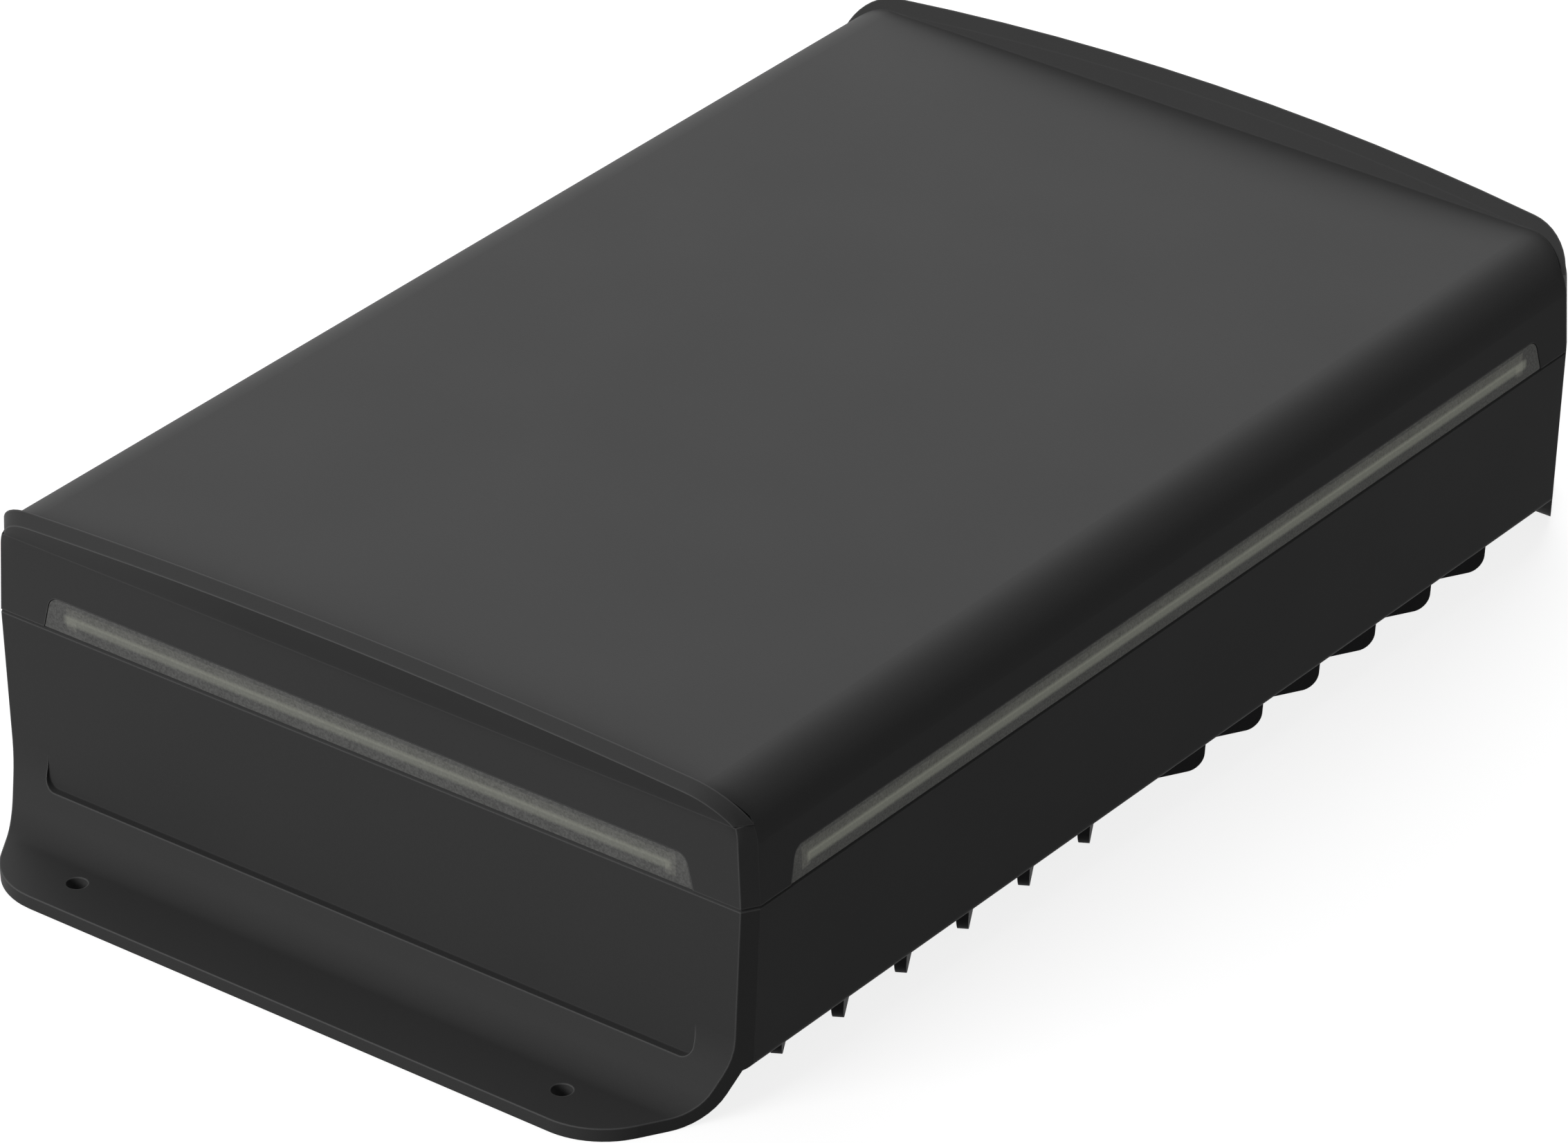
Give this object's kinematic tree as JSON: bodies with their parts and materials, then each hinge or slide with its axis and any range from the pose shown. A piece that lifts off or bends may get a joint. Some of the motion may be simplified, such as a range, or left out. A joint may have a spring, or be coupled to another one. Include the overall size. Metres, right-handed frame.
{
  "type": "injection moulded plastic housing",
  "caption": "Flat wall-mounted housing of two moulded shells with end flanges, arched end brows, grainy light windows in its walls and a finned heat sink underneath.",
  "frame": {"origin": "middle of the footprint on the mounting plane, under both flanges", "axes": "+Z out of the mounting surface, +Y along the length, +X across the width"},
  "size_m": [0.2074, 0.3622, 0.0846],
  "materials": {
    "base_plastic": "fine matt texture",
    "lid_plastic": "fine matt texture",
    "seal": "soft black",
    "window": "grainy smoke translucent",
    "light_guide": "clear with a matt face",
    "sink": "cast and black anodised",
    "steel": "zinc plated",
    "brass": "plain",
    "board": "solder mask",
    "light": "lens",
    "pad": "soft"
  },
  "bodies": {
    "root": {"base_shell": "base_plastic", "board_screws": "steel", "heat_sink": "sink", "heat_sink_screws": "steel", "heat_sink_seal": "seal", "leds": "light", "lid_inserts": "brass", "lid_screws": "steel", "lid_shell": "lid_plastic", "light_guide_front": "light_guide", "light_guide_left": "light_guide", "light_guide_rear": "light_guide", "light_guide_right": "light_guide", "main_board": "board", "seam_gasket": "seal", "thermal_pad": "pad", "window_front": "window", "window_left": "window", "window_rear": "window", "window_right": "window"}
  },
  "joints": []
}
